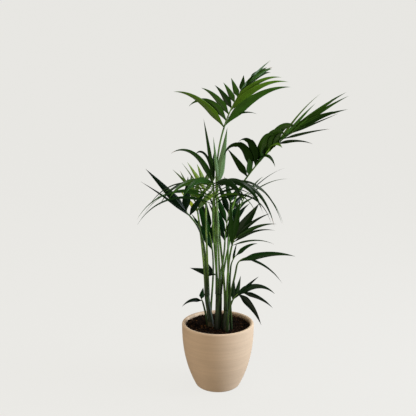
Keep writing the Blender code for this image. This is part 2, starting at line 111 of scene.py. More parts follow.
# One side of a frond: number of leaflets, then one value for all of them, or values evenly
# spaced from the first leaflet to the last: length, full width, angle from the rib, rise above
# the blade's plane, droop in all, and turn about its own midrib, like the slats of a blind
Side = namedtuple("Side", "count reach width open lift sag turn", defaults=(0,))
# A frond: the leaf's tone, the seed of its chance differences, the stem that bears it or None,
# its angle round that stem's top or its place on the soil, then the rib's start, bend and end,
# the way its upper face looks, and both sides
Frond = namedtuple("Frond", "tone seed stem foot throat bend tip face left right")

FRONDS = {
    "crown": Frond(
        "high", 11, "right", 126, (0.024, 0.1, 1.181), (0.062, 0.125, 1.31), (0.15, 0.18, 1.402),
        (-0.2, -1, 0.2),
        Side(9, (0.31, 0.24, 0.185, 0.135, 0.12, 0.1, 0.08, 0.11, 0.12),
             (0.039, 0.039, 0.036, 0.036, 0.034, 0.031, 0.034, 0.044, 0.039),
             (51, 48, 55, 54, 52, 48, 26, 2, -4), 6, (1.05, 2.1, 1, 0.6, 0.5, 0.3, 0.2, 0.4, 0.3),
             8),
        Side(8, (0.34, 0.14, 0.31, 0.27, 0.235, 0.19, 0.15, 0.12),
             (0.047, 0.013, 0.039, 0.036, 0.036, 0.036, 0.036, 0.036), (24, 46, 18, 14, 6, 8, 8, 6),
             6, (1.1, 0.8, 1.1, 1, 0.4, 0.5, 0.7, 0.6), 8)),
    "east": Frond(
        "high", 12, "right", 54, (0.122, 0, 0.973), (0.215, -0.025, 1.11), (0.33, -0.07, 1.195),
        (-0.72, -0.3, 0.62),
        Side(11, (0.16, 0.24, 0.21, 0.17, 0.2, 0.19, 0.31, 0.24, 0.33, 0.285, 0.24),
             (0.042, 0.048, 0.054, 0.058, 0.058, 0.056, 0.056, 0.05, 0.034, 0.028, 0.038),
             (69, 45, 43, 34, 35, 28, 16, 12, 4, 3, -3), (68, 65, 62),
             (0.1, 4.6, 4.6, 3.2, 3.4, 3, 0.6, 0.3, 0.3, 0.2, 0.4), 14),
        Side(9, (0.14, 0.2, 0.15, 0.17, 0.17, 0.155, 0.205, 0.235, 0.17),
             (0.044, 0.042, 0.056, 0.052, 0.048, 0.018, 0.014, 0.012, 0.032),
             (45, 27, 39, 31, 25, 24, 20, 16, 4), (64, 62, 60, 58, 56, -60, -60, -60, -40),
             (1, 2.8, 0.8, 2, 1, 0.7, 0.2, 0, 0.3), 14)),
    "spire": Frond(
        "mid", 13, "middle", 162, (-0.023, 0.052, 0.935), (-0.025, 0.055, 0.955),
        (-0.027, 0.058, 0.975), (0.1, -1, 0.2),
        Side(3, (0.27, 0.2, 0.27), (0.033, 0.037, 0.035), (15, 3, 2), (6, 0), (2.3, 3.4, 0.2), 4),
        Side(2, (0.1, 0.12), (0.02, 0.025), (16, 10), 0, 0.3, 4)),
    "spear": Frond(
        "pale", 27, "middle", 306, (-0.003, 0.02, 0.905), (-0.002, 0.03, 0.935),
        (0.001, 0.04, 0.965), (0.2, -1, 0),
        Side(1, 0.27, 0.04, 2, 0, -0.1), Side(1, 0.2, 0.022, -4, 0, 0.02)),
    "back_left": Frond(
        "young", 14, "left", 30, (-0.055, 0.08, 0.827), (-0.055, 0.11, 0.889), (-0.062, 0.16, 0.93),
        (0, -1, 0.4),
        Side(4, (0.22, 0.22, 0.19, 0.14), (0.028, 0.011, 0.028, 0.028), (42, 30, 24, 10), (10, 8),
             (0.2, 0.2)),
        Side(3, (0.1, 0.12), 0.023, (40, 20), (-10, 0), (0.4, 0.2))),
    "far_left": Frond(
        "young", 15, "left", 150, (-0.091, 0.08, 0.794), (-0.1, 0.112, 0.85), (-0.12, 0.16, 0.88),
        (0.4, -0.8, 0.6),
        Side(3, (0.14, 0.19, 0.12), 0.025, (30, 12, 4), (10, 8), (0.25, 0.2)),
        Side(4, (0.18, 0.16), 0.028, (40, 34, 16), 0, (0.3, 0.2))),
    "front": Frond(
        "mid", 16, "middle", 234, (-0.024, -0.09, 0.864), (-0.022, -0.125, 0.941),
        (-0.021, -0.26, 0.995), (0, 0.3, 1),
        Side(8, (0.33, 0.27, 0.32, 0.42, 0.46, 0.42, 0.33, 0.22),
             (0.016, 0.018, 0.022, 0.022, 0.024, 0.03, 0.038, 0.04),
             (46, 42, 40, 38, 38, 38, 38, 34), (8, 12, 16, 14, 10), (2.8, 2.4, 2.3, 2.2, 2.1),
             (10, 0, -30, -50)),
        Side(8, (0.38, 0.38, 0.38, 0.37, 0.36, 0.33, 0.28, 0.22),
             (0.016, 0.018, 0.021, 0.021, 0.022, 0.026, 0.034, 0.038),
             (58, 55, 52, 48, 44, 42, 40, 36), (-4, 4, 10, 12, 10), (1.9, 1.8, 1.7, 1.6, 1.4),
             (10, 0, -30, -50))),
    "west": Frond(
        "deep", 17, "left", 270, (-0.118, -0.05, 0.805), (-0.13, -0.056, 0.82),
        (-0.142, -0.064, 0.838), (0.3, -1, 0),
        Side(2, (0.3, 0.305), (0.014, 0.044), (9, 2), 0, (0.15, 0.1)),
        Side(2, (0.14, 0.17), (0.032, 0.044), (70, 36), 0, (0.3, 0.1))),
    "behind": Frond(
        "deep", 18, None, (-0.034, 0.07), (-0.024, 0.12, 0.604), (-0.029, 0.135, 0.658),
        (-0.043, 0.17, 0.708), (0.2, -0.9, 0.2),
        Side(3, (0.21, 0.23, 0.18), (0.036, 0.05, 0.048), (22, 8, 2), 0, (0.4, 0.1)),
        Side(2, (0.16, 0.14), 0.041, (14, 10), 0, 0.1)),
    "back": Frond(
        "deep", 19, "middle", 90, (0.032, 0.08, 0.657), (0.036, 0.11, 0.737), (0.066, 0.21, 0.839),
        (0.1, -0.9, 0.6),
        Side(5, (0.2, 0.22, 0.18), 0.034, (24, 28, 20), (14, 4), (0.4, 0.6), 10),
        Side(5, (0.17, 0.18, 0.15), 0.034, (24, 26, 16), (14, 4), (0.4, 0.6), 10)),
    "right_mid": Frond(
        "mid", 20, "right", 270, (0.058, -0.06, 0.674), (0.063, -0.064, 0.7),
        (0.078, -0.072, 0.728), (-0.2, -1, 0.3),
        Side(3, (0.22, 0.2, 0.205), (0.036, 0.041, 0.053), (14, 12, -4), 0, 0.05),
        Side(4, (0.19, 0.215, 0.225, 0.215), (0.011, 0.018, 0.024, 0.022), (48, 30, 24, 14), 0,
             (0.9, 0.8, 0.8, 0.6))),
    "right_low": Frond(
        "deep", 21, "right", 342, (0.081, -0.06, 0.585), (0.086, -0.066, 0.622),
        (0.128, -0.08, 0.636), (-0.3, -0.7, 0.6),
        Side(1, 0.29, 0.038, -22, 0, 0.55), Side(1, 0.22, 0.014, 30, 0, 0.95)),
    "right_foot": Frond(
        "deep", 22, None, (0.04, -0.072), (0.06, -0.086, 0.43), (0.074, -0.092, 0.47),
        (0.104, -0.104, 0.482), (-0.3, -0.8, 0.4),
        Side(3, (0.09, 0.09, 0.11), (0.032, 0.027, 0.019), (20, 34, 20), 0, (0.05, 0.05, 0.2)),
        Side(4, (0.13, 0.21, 0.175, 0.16), (0.016, 0.032, 0.038, 0.022), (10, 6, 60, 24), 0,
             (0.5, 1.6, 1, 0.8))),
    "left_foot": Frond(
        "deep", 23, None, (-0.048, 0.014), (-0.069, 0.01, 0.396), (-0.071, 0.007, 0.405),
        (-0.078, 0.015, 0.416), (0.3, -0.6, 0.6),
        Side(1, 0.12, 0.022, 52, 6, 1.2), Side(1, 0.06, 0.029, 36, 10, 0.1)),
    "left_low": Frond(
        "deep", 24, None, (-0.006, 0.028), (-0.004, 0.026, 0.512), (-0.01, 0.029, 0.53),
        (-0.034, 0.036, 0.528), (0.2, -1, 0.3),
        Side(1, 0.115, 0.044, 18, 0, 0.05), Side(1, 0.075, 0.023, 52, 0, 0.1)),
    "right_back": Frond(
        "mid", 25, "middle", 18, (0.096, 0.12, 0.805), (0.115, 0.15, 0.856), (0.154, 0.18, 0.889),
        (-0.4, -0.4, 0.9),
        Side(3, (0.08, 0.1, 0.14), (0.018, 0.015, 0.013), (60, 40, 10), (12, 6), (0.75, 0.6)),
        Side(3, (0.12, 0.22, 0.24), (0.015, 0.013, 0.011), (46, 30, 6), (10, 4), (0.75, 0.9, 0.5))),
    "right_inner": Frond(
        "deep", 26, None, (0.06, -0.038), (0.056, -0.041, 0.579), (0.059, -0.043, 0.612),
        (0.084, -0.062, 0.645), (-0.4, -0.8, 0.4),
        Side(1, 0.09, 0.017, 14, 0, 0.6), Side(1, 0.14, 0.024, 2, 0, 0.9)),
}

# The underside and the dark of the leaf's pattern, as shares of the upper side's colour, and
# the sprays dealt out to the leaflets, painted shade and painted light that make some look
# shaded and some lit: shares of red, green and blue, and how common each is
UNDERSIDE = (1.5, 1.4, 1.5)
PATTERN_DARK = 0.50
PAINTED_LIGHT_SPRAYS = ((0.33, 0.40, 0.33), (1.0, 1.0, 1.0), (2.2, 1.65, 1.1))
PAINTED_LIGHT_ODDS = (0.40, 0.42, 0.18)
# Added to a frond's seed for the chances that decide only the looks of its leaflets
LOOKS_SEED = 3039
# How many leaflets have a dry tip, and where along them it starts
DRY_TIP_CHANCE, DRY_TIP_START = 0.12, (0.93, 0.98)

# A fine leaflet: points on each side of its midrib, thickness and how much thinner it ends,
# curl in degrees, then what its fold gains at the root, its ripples and its pleats
BLADE_POINTS = 5
BLADE_THICKNESS, BLADE_THINNING = 0.0007, 0.7
BLADE_CURL = 14
ROOT_FOLD, ROOT_FOLD_REACH = 0.55, 0.07
RIPPLE_DEPTH, RIPPLES, RIPPLE_SEEDS = 0.05, 5, 9
PLEAT_DEPTH, PLEATS = 0.0004, 1.5

# Ribs and stalks: the channel above, full from a third of the way, and the swollen foot, which
# reaches further up where a stalk stands on a stem
RIB_RINGS, RIB_SIDES, RIB_CHANNEL = 24, 12, 0.25
STALK_SIDES, STALK_CHANNEL, CHANNEL_START = 16, 0.30, 3
SWELL = 0.0020
SWELL_ON_STEM, SWELL_ON_SOIL = 0.055, 0.03
STALK_SUNK = 0.006

# Stems: how far they reach below the soil, as a share of their height, the core between the
# lobes, where the lobes part and how wide they end, the wrap's turn, its grain and the dome
STEM_SIDES, STEM_RINGS = 72, 90
STEM_SUNK, STEM_CORE = 0.03, 0.74
LOBES_PART, LOBE_RADIUS = 0.25, STALK_RADIUS * 1.45
STEM_TWIST = 0.5
STEM_GRAIN, STEM_GRAIN_DEPTH = (5, 9), 0.0002
STEM_DOME = 0.002

# A dead sheath at a stem's foot: its sweep, least height and what chance adds, how far its two
# skins stand off the stem, then how its edge is torn, rounded, sunk and flared
HUSK_SIDES, HUSK_ROWS = 40, 10
HUSK_SWEEP = math.radians(250)
HUSK_HEIGHT, HUSK_PLAY = 0.032, 0.012
HUSK_SKINS = (0.0009, 0.0003)
HUSK_TEAR, HUSK_TEAR_STEP = 0.28, 0.35
HUSK_CORNER = 9
HUSK_LEAST, HUSK_SUNK = 0.006, 0.004
HUSK_FLARE = 0.0012

# Pot: spacing of the wheel's rings, their drift on the way round and their share of the depth,
# and the height below which they fade out
WHEEL_RINGS = ((0.019, 0.5, 0.8), (0.0048, 0.8, 0.7))
RINGS_FADE = 0.02
# Heights above the compost between which the inner wall's painted shade fades, in millimetres
PAINTED_SHADE_FADE = (11, 4)

# Compost: length, seed and height of its waves, then how it rises in all, mounds up round the
# stems and heaps against the left wall
BED_SIDES, BED_ROWS, DEPTH_ROWS = 120, 44, 12
SOIL_WAVES = ((0.035, 3.1, 0.0040), (0.009, 7.7, 0.0022))
SOIL_RISE, SOIL_SKIRT = 0.0015, 0.006
MOUND_HEIGHT, MOUND_REACH = 0.003, 0.03
HEAP_HEIGHT, HEAP_START, HEAP_WIDTH, HEAP_SPREAD = 0.005, 0.08, 0.06, 0.20
# Loose bark: least size, what chance adds and how rarely, how high it lies in sizes, then the
# flat boxes that the crumbs are cut from and their tilt
CRUMB_SEED = 41
CRUMB_SIZE, CRUMB_PLAY, CRUMB_RARITY, CRUMB_LIFT = 0.0045, 0.012, 2.2, 0.12
CRUMB_POINTS, CRUMB_WIDTH, CRUMB_FLATNESS, CRUMB_TILT = 11, 0.6, (0.3, 0.6), 0.45
# Bark finish: name, dark and light colour, and how common it is; then its grain and the bed's
BARKS = (("bark_black", "#0D0907", "#21170F", 0.60), ("bark_brown", "#1E140C", "#3F2A1A", 0.30),
         ("bark_tan", "#3D2817", "#6E4D2E", 0.10))
BARK_GRAIN, BED_GRAIN = 2.0, 6.0

# Stalk finish for each tone of leaf: name, dark and light colour; all darken towards the foot,
# painted shade low among the stems
STALK_PAINTED_SHADE, PAINTED_SHADE_REACH_MM = "#142609", 150.0
STALK_RINDS = {
    # The shaded fronds' rind is a darker copy of the common rind: painted shade
    "deep": ("stalk_rind_dark", "#15280C", "#4A6C22"),
    "mid": ("stalk_rind", "#213E10", "#64902C"),
    "high": ("stalk_rind", "#213E10", "#64902C"),
    "young": ("stalk_rind_young", "#33521A", "#7C9C3C"),
    "pale": ("stalk_rind_pale", "#3E5C2A", "#7F9C5C"),
}

# Grain of each pattern in millimetres: x, y and z on the pot and the paper, and across, along
# and through the fibres elsewhere. Grog and leaf ribs are coarser than life, or wouldn't show.
WHEEL_MARKS = (900, 900, 7)
CLAY_CLOUDS = (120, 120, 60)
GROG = (1.6, 1.6, 1.6)
PAPER_CLOUDS = (400, 400, 400)
LEAF_RIBS = (1.4, 400, 1)
LEAF_STREAKS = (3.5, 110, 1)
LEAF_BLOTCHES = (30, 60, 1)
TIP_FIBRES = (1, 12, 1)
RIND_STREAKS = (3.2, 160, 1)
RIND_PATCHES = (14, 60, 1)
RIND_SCURF = (1.2, 2.4, 1)
HUSK_FIBRES = (0.9, 60, 1)

# Stage: the photograph's own viewpoint, found by fitting the pot's rim, sides and foot
CAMERA_PLACE = (-0.0456, -3.0, 1.417)
CAMERA_TILT = math.radians(90 - 10.89)
CAMERA_LENS = 59.357
# The paper's floor, wall and the bend between them, and its glow, which hides most shadows
SWEEP_SIDES, SWEEP_ROWS = 96, 24
SWEEP_REACH, SWEEP_HEIGHT, SWEEP_BEND = 7.0, 9.0, 3.0
PAPER_GLOW = 0.975
# Each lamp: its name and setting, its place, the height on the palm that it aims at, its size
# and its colour
LAMPS = (
    ("key_right", "key_light", (2.94, -0.5, 1.1), 0.6, 1.8, "#E8F0FF"),
    ("top_soft", "top_light", (0.5, 0.3, 3.9), 0.8, 1.8, "#FFFFFF"),
    ("fill_front", "fill_light", (-2.2, -2.4, 1.2), 0.5, 3.4, "#FFF0DE"),
)


def linear(code):
    """Turn an sRGB hex colour into linear RGBA."""
    values = [int(code[place:place + 2], 16) / 255 for place in (1, 3, 5)]
    flat = [v / 12.92 if v <= 0.04045 else ((v + 0.055) / 1.055) ** 2.4 for v in values]
    return (*flat, 1.0)


def shaded(colour, *shares):
    """A linear colour scaled by one share, or by one each for red, green and blue."""
    shares = shares * 3 if len(shares) == 1 else shares
    return (*(min(value * share, 1.0) for value, share in zip(colour, shares)), 1.0)


def smooth(share):
    """Ease a share that is first held between 0 and 1."""
    share = min(max(share, 0.0), 1.0)
    return share * share * (3 - 2 * share)


def along(values, share):
    """Read evenly spaced values at a share of the way from the first to the last."""
    if not isinstance(values, tuple):
        return values
    place = share * (len(values) - 1)
    low = min(int(place), len(values) - 2)
    return values[low] + (values[low + 1] - values[low]) * (place - low)


def level_way(turn):
    """Level unit vector at an angle from +X."""
    return Vector((math.cos(turn), math.sin(turn), 0.0))


def level_ring(radius, height, sides):
    """Points of a level ring round the Z axis."""
    turns = [math.tau * side / sides for side in range(sides)]
    return [(radius * math.cos(turn), radius * math.sin(turn), height) for turn in turns]


def ring_faces(first, count):
    """Quads between a ring of points and the next ring."""
    return [(first + place, first + (place + 1) % count,
             first + count + (place + 1) % count, first + count + place)
            for place in range(count)]


def fan(first, count, middle):
    """Triangles from a ring of points to one point."""
    return [(first + place, first + (place + 1) % count, middle) for place in range(count)]


def stacked(rings, first_middle, last_middle):
    """Points and faces of a skin through rings of points, closed by a fan at both ends."""
    count = len(rings[0])
    points = [point for ring in rings for point in ring] + [first_middle, last_middle]
    faces = [face for row in range(len(rings) - 1) for face in ring_faces(row * count, count)]
    faces += fan(0, count, len(points) - 2)
    return points, faces + fan((len(rings) - 1) * count, count, len(points) - 1)


def put(name, data, place=(0.0, 0.0, 0.0)):
    """Put an object in the scene."""
    item = bpy.data.objects.new(name, data)
    item.location = place
    bpy.context.scene.collection.objects.link(item)
    return item


class Skin:
    """A piece's mesh while it grows: points, faces, the finish of each face and UVs in mm."""

    def __init__(self):
        self.points, self.faces, self.finishes, self.places = [], [], [], []

    def add(self, points, faces, places=None, finish=0):
        """Add one shape; finish is one number for all its faces, or a number for each."""
        first = len(self.points)
        self.points.extend(tuple(point) for point in points)
        self.faces.extend(tuple(index + first for index in face) for face in faces)
        self.places.extend(places or [(0.0, 0.0)] * len(points))
        self.finishes.extend([finish] * len(faces) if isinstance(finish, int) else finish)
        return self

    def piece(self, name, materials, slot, *nodes):
        """Make the object, seat it on the part's body and let it stand for its solids."""
        mesh = bpy.data.meshes.new(name)
        mesh.from_pydata(self.points, [], self.faces)
        mesh.polygons.foreach_set("material_index", self.finishes)
        layer = mesh.uv_layers.new(name="surface_mm")
        for loop, corner in zip(mesh.loops, layer.data):
            corner.uv = self.places[loop.vertex_index]
        shape = bmesh.new()
        shape.from_mesh(mesh)
        bmesh.ops.recalc_face_normals(shape, faces=shape.faces)
        shape.to_mesh(mesh)
        shape.free()
        mesh.shade_smooth()
        for finish in materials:
            mesh.materials.append(finish)
        item = put(name, mesh)
        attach(item, "root")
        if nodes:
            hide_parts(*nodes)
        return item


class Finish:
    """A material while it is made; its patterns lie on the mesh's UVs or on the object."""

    def __init__(self, name, roughness, ior=1.5, on_uvs=True, **sockets):
        self.made = bpy.data.materials.new(name)
        self.made.use_nodes = True
        self.tree = self.made.node_tree
        self.shader = self.tree.nodes["Principled BSDF"]
        for socket, value in dict(sockets, Roughness=roughness, IOR=ior).items():
            self.shader.inputs[socket.replace("_", " ")].default_value = value
        self.place = (self.add("UVMap", uv_map="surface_mm").outputs[0] if on_uvs
                      else self.add("TexCoord").outputs["Object"])
        self.millimetre = 1.0 if on_uvs else MM

    def add(self, kind, inputs=(), links=(), **settings):
        """Add a shader node with its settings, socket values and links."""
        node = self.tree.nodes.new("ShaderNode" + kind)
        for name, value in settings.items():
            setattr(node, name, value)
        for name, value in dict(inputs).items():
            node.inputs[name].default_value = value
        for name, source in dict(links).items():
            self.tree.links.new(source, node.inputs[name])
        return node

    def grain(self, sizes, detail=3.0):
        """Noise whose grains have a given size along each axis, in millimetres."""
        scale = [1.0 / (size * self.millimetre) for size in sizes]
        place = self.add("Mapping", {"Scale": scale}, {"Vector": self.place})
        return self.add("TexNoise", {"Scale": 1.0, "Detail": detail},
                        {"Vector": place.outputs[0]}).outputs["Fac"]

    def summed(self, *patterns):
        """Patterns added up, each times its share."""
        links = {}
        for pattern, share in patterns:
            links[0] = pattern
            total = self.add("Math", {1: share, 2: 0.0}, links, operation="MULTIPLY_ADD")
            links[2] = total.outputs[0]
        return links[2]

    def layer(self, pattern, span, below, above, most=1.0):
        """Lay a colour over another, or over a coloured socket, as a pattern crosses a span."""
        ramp = self.add("MapRange", {"From Min": span[0], "From Max": span[1], "To Max": most},
                        {"Value": pattern})
        values, links = {7: above}, {0: ramp.outputs[0]}
        (values if isinstance(below, tuple) else links)[6] = below
        return self.add("Mix", values, links, data_type="RGBA").outputs[2]

    def wear(self, colour, relief=None, depth_mm=0.0, strength=1.0):
        """Give the surface its colour and a relief of a real depth, and return the material."""
        self.tree.links.new(colour, self.shader.inputs["Base Color"])
        if relief is not None:
            bump = self.add("Bump", {"Distance": depth_mm * MM, "Strength": strength},
                            {"Height": relief})
            self.tree.links.new(bump.outputs[0], self.shader.inputs["Normal"])
        return self.made


def shared(make, name, *facts):
    """The material of this name, made only once."""
    return bpy.data.materials.get(name) or make(name, *facts)


def thrown_stoneware(name, colour, stained=False):
    """Unglazed stoneware: dull, with faint rings from the wheel, dark grog, and painted shade on
    its inner wall just above the compost."""
    finish = Finish(name, roughness=0.78, on_uvs=False)
    rings = finish.grain(WHEEL_MARKS, detail=4.0)
    cloud = finish.grain(CLAY_CLOUDS, detail=2.0)
    grog = finish.grain(GROG, detail=2.0)
    tone = finish.summed((cloud, 0.45), (rings, 0.55))
    clay = finish.layer(tone, (0.34, 0.66), shaded(colour, 0.86), shaded(colour, 1.0))
    clay = finish.layer(grog, (0.66, 0.74), clay, shaded(colour, 0.52))
    if stained:
        # Painted shade: the inner wall darkens just above the compost
        height = finish.add("SeparateXYZ", {}, {"Vector": finish.place}).outputs["Z"]
        fade = [SOIL_TOP + above * MM for above in PAINTED_SHADE_FADE]
        clay = finish.layer(height, fade, clay, shaded(colour, 0.34, 0.28, 0.22))
    relief = finish.summed((rings, 1.0), (grog, 0.35))
    return finish.wear(clay, relief, depth_mm=0.5, strength=0.6)


def damp_compost(name, dark, light, grain_mm):
    """Peat and bark fines: near black where damp, matt, with brown crumbs."""
    finish = Finish(name, roughness=0.95, ior=1.15, on_uvs=False)
    crumbs = finish.grain((grain_mm,) * 3, detail=6.0)
    colour = finish.layer(crumbs, (0.42, 0.72), linear(dark), linear(light))
    return finish.wear(colour, crumbs, depth_mm=2.0)


def leaf_skin(name, colour, roughness):
    """Palm leaflet: waxy cuticle with a satin gloss, and fine pale ribs that run to the tip."""
    finish = Finish(name, roughness, ior=1.33, Specular_IOR_Level=0.22)
    ribs = finish.grain(LEAF_RIBS, detail=1.0)
    blotches = finish.grain(LEAF_BLOTCHES)
    pattern = finish.summed((blotches, 1.0), (finish.grain(LEAF_STREAKS), 0.5), (ribs, 0.25))
    green = finish.layer(pattern, (0.6, 1.15), shaded(colour, PATTERN_DARK), shaded(colour, 1.0))
    return finish.wear(green, ribs, depth_mm=0.10, strength=0.4)


def dry_tip(name):
    """Dead end of a leaflet: papery and matt."""
    finish = Finish(name, roughness=0.8)
    fibres = finish.grain(TIP_FIBRES)
    return finish.wear(finish.layer(fibres, (0.0, 1.0), linear("#5E4A2E"), linear("#7C633E")))


def leaf_finishes(tone, colour):
    """Upper skin in each spray of painted light and shade, lower skin in each spray, and the dry
    tip.
    """
    made = []
    lower = shaded(colour, *UNDERSIDE)
    for side, base, roughness in (("upper", colour, 0.28), ("lower", lower, 0.48)):
        for number, painted_light in enumerate(PAINTED_LIGHT_SPRAYS, start=1):
            name = f"leaf_{tone}_{side}_{number}"
            made.append(shared(leaf_skin, name, shaded(base, *painted_light), roughness))
    return made + [shared(dry_tip, "leaf_dry_tip")]


def green_rind(name, dark, light, foot, foot_mm, roughness=0.42):
    """Stalk rind: smooth satin green that darkens towards its foot, painted shade low among the
    stems, with pale streaks along the fibres and dots of scurf."""
    finish = Finish(name, roughness, ior=1.4)
    streaks = finish.grain(RIND_STREAKS)
    pattern = finish.summed((finish.grain(RIND_PATCHES), 1.0), (streaks, 0.55))
    green = finish.layer(pattern, (0.62, 0.92), linear(dark), linear(light))
    # Painted shade: the colour darkens towards the foot
    height_mm = finish.add("SeparateXYZ", {}, {"Vector": finish.place}).outputs["Y"]
    green = finish.layer(height_mm, (foot_mm, 0.0), green, linear(foot))
    scurf = finish.grain(RIND_SCURF, detail=1.0)
    green = finish.layer(scurf, (0.70, 0.78), green, linear("#7F8A5A"), most=0.6)
    return finish.wear(green, streaks, depth_mm=0.25, strength=0.7)


def dry_husk(name):
    """Dead leaf sheath: thin, fibrous and straw brown."""
    finish = Finish(name, roughness=0.82)
    fibres = finish.grain(HUSK_FIBRES, detail=4.0)
    brown = finish.layer(fibres, (0.35, 0.65), linear("#1E1C0E"), linear("#453F22"))
    return finish.wear(brown, fibres, depth_mm=0.5)


def outer_radius(height):
    """Outer radius of the pot above its heel."""
    share = (height - POT_HEEL_HEIGHT) / (POT_HEIGHT - POT_HEEL_HEIGHT)
    share = min(max(share, 0.0), 1.0)
    return POT_HEEL_RADIUS + (POT_RADIUS - POT_HEEL_RADIUS) * (1 - (1 - share) ** POT_BULGE)


def pot_profile(heights=120, lip_steps=14, heel_steps=10):
    """Section of the pot, from the inner floor over the lip to the underside."""
    lip = POT_WALL / 2
    high = POT_HEIGHT - lip
    levels = [POT_FLOOR + (high - POT_FLOOR) * step / heights for step in range(heights + 1)]
    points = [(outer_radius(level) - POT_WALL, level) for level in levels[::2]]
    middle = outer_radius(high) - lip
    for step in range(1, lip_steps):
        turn = math.pi * (1 - step / lip_steps)
        points.append((middle + lip * math.cos(turn), high + lip * math.sin(turn)))
    points += [(outer_radius(level), level) for level in reversed(levels)]
    for step in range(heel_steps + 1):
        turn = POT_HEEL_SWEEP * (1 - step / heel_steps)
        reach = math.sin(turn) / math.sin(POT_HEEL_SWEEP)
        rise = (1 - math.cos(turn)) / (1 - math.cos(POT_HEEL_SWEEP))
        radius = POT_FLAT_RADIUS + (POT_HEEL_RADIUS - POT_FLAT_RADIUS) * reach
        points.append((radius, POT_HEEL_HEIGHT * rise))
    return points


def throwing_relief(turn, height):
    """The wheel's rings at one place, as shares of their depth in or out."""
    return sum(share * noise.noise((math.cos(turn) * drift, math.sin(turn) * drift,
                                    height / spacing))
               for spacing, drift, share in WHEEL_RINGS)


def build_pot(settings):
    """The pot: a finely turned wall with rings, a rounded lip and a flat underside."""
    profile = pot_profile()
    sides = settings.pot_sides
    rings = []
    for radius, height in profile:
        depth = settings.ring_depth * smooth(height / RINGS_FADE)
        ring = []
        for side in range(sides):
            turn = math.tau * side / sides
            reach = radius + depth * throwing_relief(turn, height)
            ring.append((reach * math.cos(turn), reach * math.sin(turn), height))
        rings.append(ring)
    points, faces = stacked(rings, (0.0, 0.0, profile[0][1]), (0.0, 0.0, 0.0))
    # Only the faces of the inner wall and floor, below the lip's turn, carry the painted shade
    inner = sum(height < POT_HEIGHT - POT_WALL / 2 for _, height in profile[:len(profile) // 3])
    finishes = [int(face[0] // sides < inner) for face in faces]
    clay = tuple(settings.clay)
    Skin().add(points, faces, finish=finishes).piece(
        "pot_stoneware", [thrown_stoneware("thrown_stoneware", clay),
                          thrown_stoneware("stained_stoneware", clay, stained=True)],
        "pot_clay", "pot")


def foot_distance(x, y, foot):
    """Level distance from a place on the compost to the foot of a stem or stalk."""
    return math.hypot(x - foot[0], y - foot[1])


def soil_height(x, y):
    """Top of the compost: uneven, higher by the stems, and heaped against the left wall."""
    waves = sum(noise.noise((x / length, y / length, seed)) * height
                for length, seed, height in SOIL_WAVES)
    near = min(foot_distance(x, y, stem.foot) for stem in STEMS.values())
    mound = MOUND_HEIGHT * math.exp(-near / MOUND_REACH)
    heap = smooth((math.hypot(x, y) - HEAP_START) / HEAP_WIDTH)
    heap *= HEAP_HEIGHT * smooth(0.5 + (y - x) / HEAP_SPREAD)
    return SOIL_TOP + SOIL_RISE + waves + mound + heap


def chunk(dice, size, centre, flatness):
    """One crumb of bark: the hull of a few points in a flat box."""
    shape = bmesh.new()
    turn = Matrix.Rotation(dice.uniform(0, math.tau), 3, "Z")
    for axis in "XY":
        turn = turn @ Matrix.Rotation(dice.gauss(0, CRUMB_TILT), 3, axis)
    for _ in range(CRUMB_POINTS):
        point = Vector([dice.uniform(-half, half) for half in (1, CRUMB_WIDTH, flatness)])
        shape.verts.new(centre + turn @ (point * size / 2))
    hull = bmesh.ops.convex_hull(shape, input=shape.verts)
    loose = {part for part in hull["geom_interior"] + hull["geom_unused"]
             if isinstance(part, bmesh.types.BMVert)}
    bmesh.ops.delete(shape, geom=list(loose), context="VERTS")
    shape.verts.index_update()
    points = [vert.co.copy() for vert in shape.verts]
    faces = [tuple(vert.index for vert in face.verts) for face in shape.faces]
    shape.free()
    return points, faces


def clear_of_stems(place, size):
    """Whether a crumb at this place leaves the stems and stalks free."""
    feet = [(stem.foot, stem.flare) for stem in STEMS.values()]
    feet += [(frond.foot, STALK_RADIUS) for frond in FRONDS.values() if frond.stem is None]
    return all(foot_distance(place.x, place.y, foot) >= radius + size / 2
               for foot, radius in feet)


def build_soil(settings):
    """Compost: an uneven bed with loose bark crumbs of three tones."""
    gap = POT_WALL + 3 * CLEAR
    edge = outer_radius(SOIL_TOP) - gap
    rings = [[(x, y, soil_height(x, y))
              for x, y, _ in level_ring(edge * row / BED_ROWS, 0.0, BED_SIDES)]
             for row in range(1, BED_ROWS + 1)]
    high = SOIL_TOP - SOIL_SKIRT
    low = POT_FLOOR + CLEAR
    for step in range(1, DEPTH_ROWS + 1):
        level = high + (low - high) * step / DEPTH_ROWS
        rings.append(level_ring(outer_radius(level) - gap, level, BED_SIDES))
    bed = stacked(rings, (0.0, 0.0, soil_height(0, 0)), (0.0, 0.0, low))
    earth = damp_compost("damp_compost", "#0B0806", "#2A1C12", BED_GRAIN)
    Skin().add(*bed).piece("compost_bed", [earth], "compost", "soil")

    dice = random.Random(CRUMB_SEED)
    odds = [bark[-1] for bark in BARKS]
    crumbs = Skin()
    for _ in range(settings.crumbs):
        size = CRUMB_SIZE + CRUMB_PLAY * dice.random() ** CRUMB_RARITY
        reach = (edge - size / 2) * math.sqrt(dice.random())
        turn = dice.uniform(0, math.tau)
        place = Vector((reach * math.cos(turn), reach * math.sin(turn), 0.0))
        place.z = soil_height(place.x, place.y) + size * CRUMB_LIFT
        tone = dice.choices(range(len(BARKS)), odds)[0]
        if clear_of_stems(place, size):
            shape = chunk(dice, size, place, dice.uniform(*CRUMB_FLATNESS))
            crumbs.add(*shape, finish=tone)
    tones = [damp_compost(name, dark, light, BARK_GRAIN) for name, dark, light, _ in BARKS]
    item = crumbs.piece("compost_crumbs", tones, "compost")
    item.data.shade_flat()


def stem_line(stem, share):
    """Centre and radius of a stem at a share of its height."""
    foot = Vector((*stem.foot, SOIL_TOP + CLEAR))
    top = Vector(stem.top)
    centre = foot.lerp(top, smooth(share))
    centre.z = foot.z + (top.z - foot.z) * share
    flare = math.exp(-(top.z - foot.z) * max(share, 0.0) / STEM_FLARE_HEIGHT)
    return centre, stem.waist + (stem.tip - stem.waist) * share + (stem.flare - stem.waist) * flare


